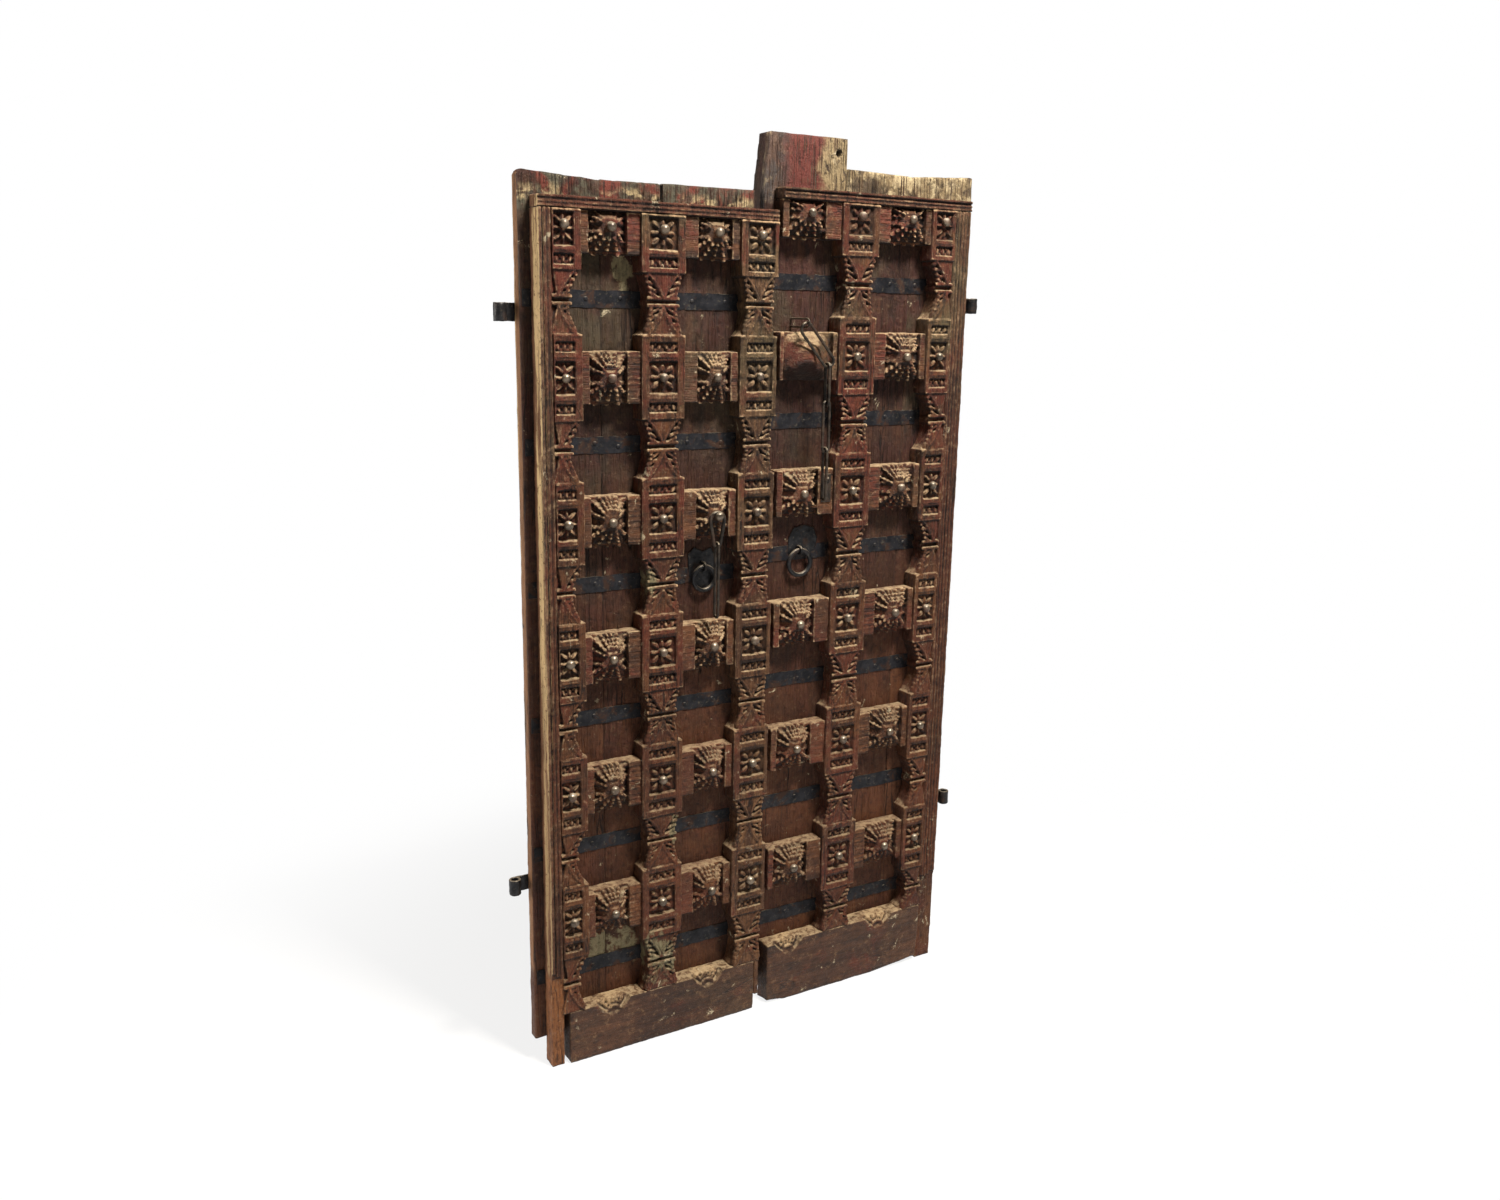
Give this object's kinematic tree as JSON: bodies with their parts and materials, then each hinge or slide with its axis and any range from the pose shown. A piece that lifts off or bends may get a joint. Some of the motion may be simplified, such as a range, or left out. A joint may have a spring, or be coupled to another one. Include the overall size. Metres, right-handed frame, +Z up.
{
  "type": "carved double door",
  "caption": "Old wooden double door, two ledged leaves with a carved lattice of blocks and pyramid bosses, iron straps, ring pulls and chain.",
  "frame": {"origin": "middle of the door's foot, halfway through its depth", "axes": "+X right along the width, +Z up, the carved front faces -Y"},
  "size_m": [1.212, 0.1324, 2.026],
  "materials": {
    "carved_wood": "worn paint",
    "boards": "aged",
    "foot_rails": "worn",
    "iron": "forged, dark"
  },
  "bodies": {
    "left_leaf": {"left_board_1": "boards", "left_board_2": "boards", "left_board_3": "boards", "left_outer_stile": "carved_wood", "left_middle_stile": "carved_wood", "left_meeting_stile": "carved_wood", "left_rail_1": "carved_wood", "left_rail_2": "carved_wood", "left_rail_3": "carved_wood", "left_rail_4": "carved_wood", "left_rail_5": "carved_wood", "left_rail_6": "carved_wood", "left_bottom_rail": "foot_rails", "left_edge_moulding": "carved_wood", "left_cap": "carved_wood", "left_bands": "iron", "left_nails": "iron", "left_upper_hinge": "iron", "left_lower_hinge": "iron", "left_ring_plate": "iron", "left_ring_staple": "iron"},
    "right_leaf": {"right_board_1": "boards", "right_board_2": "boards", "right_tall_board": "boards", "right_outer_stile": "carved_wood", "right_middle_stile": "carved_wood", "right_rail_1": "carved_wood", "right_rail_2": "carved_wood", "right_rail_3": "carved_wood", "right_rail_4": "carved_wood", "right_rail_5": "carved_wood", "right_rail_6": "carved_wood", "right_bottom_rail": "foot_rails", "right_edge_moulding": "carved_wood", "right_cap": "carved_wood", "right_bands": "iron", "right_nails": "iron", "right_upper_hinge": "iron", "right_lower_hinge": "iron", "right_ring_plate": "iron", "right_ring_staple": "iron", "chain_staple": "iron", "catch_plate": "iron", "catch_staple": "iron"},
    "left_ring": {"left_ring": "iron"},
    "right_ring": {"right_ring": "iron"},
    "hasp_link": {"hasp_link": "iron"},
    "thin_loop": {"thin_loop": "iron"},
    "chain_link_1": {"chain_link_1": "iron"},
    "chain_link_2": {"chain_link_2": "iron"},
    "chain_link_3": {"chain_link_3": "iron"},
    "chain_link_4": {"chain_link_4": "iron"}
  },
  "joints": [
    {"name": "right_leaf_swing", "type": "hinge", "parent": "left_leaf", "child": "right_leaf", "pos_m": [0.593, 0.02873, 1.678], "axis": [0, 0, -1], "range_deg": [0, 100]},
    {"name": "left_ring_lift", "type": "hinge", "parent": "left_leaf", "child": "left_ring", "pos_m": [-0.151, -0.00028, 1.104], "axis": [-1, 0, 0], "range_deg": [0, 35]},
    {"name": "right_ring_lift", "type": "hinge", "parent": "right_leaf", "child": "right_ring", "pos_m": [0.099, -0.00028, 1.121], "axis": [-1, 0, 0], "range_deg": [0, 100]},
    {"name": "hasp_link_swing", "type": "hinge", "parent": "left_leaf", "child": "hasp_link", "pos_m": [-0.146, -0.04927, 1.224], "axis": [0, 1, 0], "range_deg": [-60, 60]},
    {"name": "thin_loop_swing", "type": "hinge", "parent": "hasp_link", "child": "thin_loop", "pos_m": [-0.146, -0.04927, 1.15715], "axis": [-1, 0, 0], "range_deg": [0, 60]},
    {"name": "chain_swing_1", "type": "hinge", "parent": "right_leaf", "child": "chain_link_1", "pos_m": [0.067, -0.05427, 1.632], "axis": [0, -1, 0], "range_deg": [0, 30]},
    {"name": "chain_swing_2", "type": "hinge", "parent": "chain_link_1", "child": "chain_link_2", "pos_m": [0.124, -0.05427, 1.538], "axis": [-1, 0, 0], "range_deg": [0, 45]},
    {"name": "chain_swing_3", "type": "hinge", "parent": "chain_link_2", "child": "chain_link_3", "pos_m": [0.124, -0.05427, 1.455], "axis": [0, -1, 0], "range_deg": [-5, 20]},
    {"name": "chain_swing_4", "type": "hinge", "parent": "chain_link_3", "child": "chain_link_4", "pos_m": [0.124, -0.05427, 1.352], "axis": [-1, 0, 0], "range_deg": [0, 40]}
  ]
}
